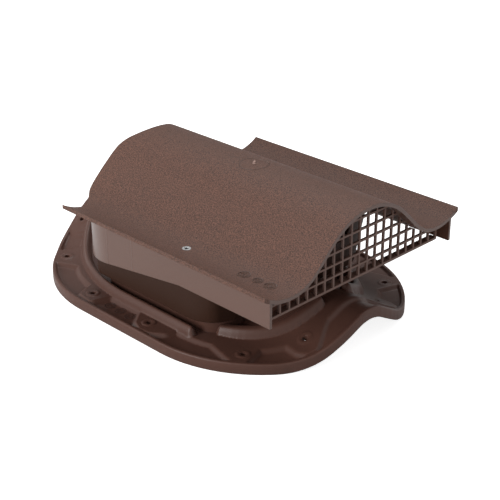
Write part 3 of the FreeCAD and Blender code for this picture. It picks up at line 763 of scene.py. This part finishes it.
# Darker than the hood's brown: painted shade at the edges of the dial rings and of the gate dish's ring.
HOOD_DIAL_SHADED_BROWN = (80, 55, 43)
TORN_BROWN = (160, 132, 122)
HOOD_GRAIN = 4.6
SKIRT_ROUGHNESS = 0.36
SHEET_ROUGHNESS = 0.58
SKIRT_POLISH = 0.55
SKIRT_POLISH_ROUGHNESS = 0.22
SHEET_EDGE = 117.0
TOP_FACING = 0.25
OUT_FACING = 0.01
GATE_PLACE = (0.0, -43.9)
GATE_DISH_RADIUS = 13.0
GATE_DISH_SLOPE = 0.7
GATE_RING_IN = 0.45
GATE_RING_OUT = 0.25
GATE_RING_HIGH = 0.22
SKIRT_LINES = (22.5, -10.9)
SKIRT_LINE_HALF = 0.9
SKIRT_LINE_SHARE = 0.3
MARK_DEPTH = 0.9 * MM
HOOD_DIALS = ((-92.2, -123.9, 5.6, 20), (-92.0, -138.9, 4.6, 140), (-91.8, -152.5, 5.6, 250))
STUB_PROFILE = ((1.7, -0.3), (1.3, 0.3), (1.05, 1.0), (1.3, 1.7), (1.0, 2.2), (0.3, 2.4))
STUB_STEPS = 18
STUB_LOBES = 3
STUB_RAGGED = 0.18
STUB_LEAN = 0.2


def dress(node, material):
    """Gives a piece of the frame its finish."""
    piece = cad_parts[node]
    piece.data.materials.clear()
    piece.data.materials.append(material)


def split_place(tree):
    """Where a point lies, in millimetres: the sockets across, along and up."""
    place = add_node(tree, "ShaderNodeTexCoord").outputs["Object"]
    scaled = add_node(tree, "ShaderNodeVectorMath", {0: place, "Scale": 1 / MM}, operation="SCALE")
    return add_node(tree, "ShaderNodeSeparateXYZ", {0: scaled.outputs["Vector"]}).outputs


def faded(tree, value, low, high):
    """Nought at low, one at high, and a soft S between them."""
    inputs = {"Value": value, "From Min": low, "From Max": high}
    return add_node(tree, "ShaderNodeMapRange", inputs, interpolation_type="SMOOTHSTEP").outputs["Result"]


def grained_part(tree):
    """One on the sheet's top and on its side edges, nought on the smooth skirt."""
    facing = add_node(tree, "ShaderNodeNewGeometry").outputs["Normal"]
    upward = add_node(tree, "ShaderNodeSeparateXYZ", {0: facing}).outputs["Z"]
    beside = add_math(tree, "ABSOLUTE", split_place(tree)["X"], 0.0)
    on_top = add_math(tree, "GREATER_THAN", upward, TOP_FACING)
    return add_math(tree, "MAXIMUM", on_top, add_math(tree, "GREATER_THAN", beside, SHEET_EDGE))


def hood_roughness(tree):
    """The sheet's roughness where it is grained, the skirt's elsewhere."""
    extra = add_math(tree, "MULTIPLY", grained_part(tree), SHEET_ROUGHNESS - SKIRT_ROUGHNESS)
    return add_math(tree, "ADD", extra, SKIRT_ROUGHNESS)


def hood_grain(tree):
    """The strength of the sand grain, nought on the skirt."""
    return add_math(tree, "MULTIPLY", grained_part(tree), HOOD_GRAIN)


hood_plastic = moulded_plastic(
    "hood_brown", HOOD_BROWN, roughness=hood_roughness, grain=hood_grain, edge=0.8 * MM, specular=0.42
)
hood_tree = hood_plastic.node_tree
hood_shader = hood_tree.nodes["Principled BSDF"]
skirt_part = add_math(hood_tree, "SUBTRACT", 1.0, grained_part(hood_tree))
hood_facing = add_node(hood_tree, "ShaderNodeNewGeometry").outputs["Normal"]
hood_spot = add_node(hood_tree, "ShaderNodeTexCoord").outputs["Object"]
flat_spot = add_node(
    hood_tree, "ShaderNodeVectorMath", {0: hood_spot, 1: (1.0, 1.0, 0.0)}, operation="MULTIPLY"
).outputs["Vector"]
outward = add_node(
    hood_tree, "ShaderNodeVectorMath", {0: hood_facing, 1: flat_spot}, operation="DOT_PRODUCT"
).outputs["Value"]
outside = add_math(hood_tree, "GREATER_THAN", outward, OUT_FACING)
polished_part = add_math(hood_tree, "MULTIPLY", skirt_part, outside)
polished = add_math(hood_tree, "MULTIPLY", polished_part, SKIRT_POLISH)
hood_tree.links.new(polished, hood_shader.inputs["Coat Weight"])
hood_shader.inputs["Coat Roughness"].default_value = SKIRT_POLISH_ROUGHNESS
hood_place = split_place(hood_tree)
squares = [
    add_math(hood_tree, "POWER", add_math(hood_tree, "SUBTRACT", hood_place[axis], middle), 2.0)
    for axis, middle in zip("XY", GATE_PLACE)
]
from_gate = add_math(hood_tree, "SQRT", add_math(hood_tree, "ADD", *squares), 0.0)
marks = faded(hood_tree, from_gate, GATE_DISH_RADIUS - GATE_DISH_SLOPE, GATE_DISH_RADIUS + GATE_DISH_SLOPE)
for line in SKIRT_LINES:
    off_line = add_math(hood_tree, "ABSOLUTE", add_math(hood_tree, "SUBTRACT", hood_place["Y"], line), 0.0)
    ridge = add_math(hood_tree, "MULTIPLY", faded(hood_tree, off_line, SKIRT_LINE_HALF, 0.0), skirt_part)
    marks = add_math(hood_tree, "ADD", marks, add_math(hood_tree, "MULTIPLY", ridge, SKIRT_LINE_SHARE))
mould_marks = add_node(hood_tree, "ShaderNodeBump", {
    "Height": marks, "Distance": MARK_DEPTH, "Normal": hood_tree.nodes["moulded"].outputs["Normal"],
})
hood_tree.links.new(mould_marks.outputs["Normal"], hood_shader.inputs["Normal"])
dress("hood", hood_plastic)

# The hood's dials take the darker brown, as painted shade at their raised edges.
hood_dial_plastic = moulded_plastic(
    "hood_dial_shaded_brown", HOOD_DIAL_SHADED_BROWN, roughness=0.32, grain=0.3, edge=0.1 * MM, specular=0.6
)
date_dials("hood_date_dials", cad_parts["hood"], HOOD_DIALS, hood_dial_plastic)

hood_skin = surface_of(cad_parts["hood"])
# The dish's ring also takes the darker dial brown, as painted shade along the dish's edge.
gate_ring = bmesh.new()
raise_circle(
    gate_ring,
    hood_skin,
    *GATE_PLACE,
    GATE_DISH_RADIUS - GATE_RING_IN,
    GATE_DISH_RADIUS + GATE_RING_OUT,
    GATE_RING_HIGH,
)
finish_piece("hood_gate_ring", gate_ring, hood_dial_plastic)


def stub_point(reach, rise, turn):
    """A point of the torn stub, which is three lobed and leans to one side."""
    ragged = 1 + STUB_RAGGED * math.sin(STUB_LOBES * turn)
    x = GATE_PLACE[0] + reach * math.cos(turn) * ragged
    y = GATE_PLACE[1] + reach * math.sin(turn) * ragged
    return set_on(hood_skin, x, y, rise * (1 + STUB_LEAN * math.cos(turn)))


stub = bmesh.new()
stub_rows = raise_rings(stub, [
    [stub_point(reach, rise, turn) for turn in circle_turns(STUB_STEPS)] for reach, rise in STUB_PROFILE
])
stub.faces.new(stub_rows[-1])
stub.faces.new(stub_rows[0][::-1])
torn_plastic = moulded_plastic(
    "torn_plastic", TORN_BROWN, roughness=0.5, grain=0.6, edge=0.1 * MM, specular=0.4
)
finish_piece("hood_gate_stub", stub, torn_plastic)

# Outlet mesh: one satin moulding of the same brown plastic, a net of square openings that lets the air out.
# Its colour is drawn lighter than the hood's, as painted light on the lit fronts of the bars.
# It is set in from the hood's front edge, between the ends of the skirt, and stands on a foot strip.

# Lighter than the hood's brown: painted light on the lit fronts of the bars.
GRILLE_LIT_BROWN = (108, 82, 73)

grille_plastic = moulded_plastic(
    "grille_lit_brown", GRILLE_LIT_BROWN, roughness=0.4, grain=0.12, edge=0.4 * MM, specular=0.3
)
dress("outlet_grille", grille_plastic)

# Hood screws: two equal countersunk screws of zinc plated steel, flush in the troughs of the hood, with a
# cross recess in the head and a coarse thread that goes into the bosses of the duct.

ZINC_TONES = ((128, 130, 130), (196, 198, 198))
ZINC_SHEEN = (-0.6, 1.8)
CRYSTAL_SCALE = 900.0
CRYSTAL_DETAIL = 4.0
HEAD_RADIUS = 4.0
HEAD_EDGE = 0.2
HEAD_HIGH = 2.4
CORE_RADIUS = 1.3
THREAD_RADIUS = 1.75
THREAD_PITCH = 1.3
THREAD_START = 3.0
THREAD_STEPS = 6
RIDGE_STEEP = 4
SCREW_LENGTH = 20.0
TIP_LONG = 4.0
TIP_BLUNT = 0.08
RECESS_ARM = 2.3
RECESS_HALF = 0.75
RECESS_DEEP = 1.8
RECESS_TAPER = 0.62
RECESS_TURN = 0.4
# How dark the zinc is drawn deep in the cross recess, and over what depths it fades: painted shade.
RECESS_SHADE = 0.12
RECESS_SHADE_DEPTHS = (1.0, 0.1)

screw_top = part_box("hood_screws")[1].z / MM


def screw_point(place, across, along, down):
    """A point of a screw, measured from the middle of its head's top."""
    return Vector((place[0] + across, place[1] + along, screw_top - down)) * MM


def screw_loop(place, down, reach_at):
    """One loop of points round a screw; the reach depends on the direction."""
    return [
        screw_point(place, reach_at(turn) * math.cos(turn), reach_at(turn) * math.sin(turn), down)
        for turn in SCREW_TURNS
    ]


def thread_reach(down, turn):
    """How far the thread stands out from the middle: its core, its ridge and the taper of the tip."""
    wave = (down / THREAD_PITCH - turn / math.tau) % 1
    ridge = max(0.0, 1 - abs(wave - 0.5) * RIDGE_STEEP)
    taper = min(1.0, (SCREW_LENGTH - down) / TIP_LONG + TIP_BLUNT)
    return (CORE_RADIUS + (THREAD_RADIUS - CORE_RADIUS) * ridge) * taper


head_profile = ((HEAD_RADIUS - HEAD_EDGE, 0.0), (HEAD_RADIUS, HEAD_EDGE), (THREAD_RADIUS, HEAD_HIGH))
thread_rows = round((SCREW_LENGTH - THREAD_START) / THREAD_PITCH * THREAD_STEPS)
recess_quarter = ((RECESS_ARM, -RECESS_HALF), (RECESS_ARM, RECESS_HALF), (RECESS_HALF, RECESS_HALF))
recess_cross = []
for quarter in range(4):
    quarter_turn = Matrix.Rotation(math.pi / 2 * quarter + RECESS_TURN, 2)
    recess_cross += [quarter_turn @ Vector(corner) for corner in recess_quarter]
screws = bmesh.new()
for place in SCREW_PLACES:
    loops = [screw_loop(place, down, lambda turn, reach=reach: reach) for reach, down in head_profile]
    for row in range(thread_rows + 1):
        down = THREAD_START + (SCREW_LENGTH - THREAD_START) * row / thread_rows
        loops.append(screw_loop(place, down, lambda turn, down=down: thread_reach(down, turn)))
    rows = raise_rings(screws, loops)
    screws.faces.new(rows[-1])
    recess = raise_rings(screws, [
        [screw_point(place, *corner, 0.0) for corner in recess_cross],
        [screw_point(place, *(corner * RECESS_TAPER), RECESS_DEEP) for corner in recess_cross],
    ])
    screws.faces.new(recess[-1])
    top_points = set(rows[0] + recess[0])
    rim = [edge for edge in screws.edges if edge.is_boundary and set(edge.verts) <= top_points]
    bmesh.ops.triangle_fill(screws, use_beauty=True, edges=rim)

zinc, zinc_tree, zinc_shader = new_material("zinc_plate")
zinc_shader.inputs["Metallic"].default_value = 1.0
crystals = add_node(
    zinc_tree, "ShaderNodeTexNoise", {"Scale": CRYSTAL_SCALE, "Detail": CRYSTAL_DETAIL}
).outputs["Fac"]
zinc_tones = add_node(zinc_tree, "ShaderNodeValToRGB", {"Fac": crystals})
for element, tone in zip(zinc_tones.color_ramp.elements, ZINC_TONES):
    element.color = srgb(*tone)
# Painted shade: the zinc's colour fades darker down into the cross recess.
shade_low, shade_high = [screw_top - depth for depth in RECESS_SHADE_DEPTHS]
recess_light = faded(zinc_tree, split_place(zinc_tree)["Z"], shade_low, shade_high)
zinc_shaded = add_node(
    zinc_tree,
    "ShaderNodeVectorMath",
    {0: zinc_tones.outputs["Color"], "Scale": add_math(zinc_tree, "ADD", recess_light, RECESS_SHADE)},
    operation="SCALE",
)
zinc_tree.links.new(zinc_shaded.outputs["Vector"], zinc_shader.inputs["Base Color"])
zinc_tree.links.new(faded(zinc_tree, crystals, *ZINC_SHEEN), zinc_shader.inputs["Roughness"])
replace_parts(finish_piece("hood_screw_pair", screws, zinc), "hood_screws")
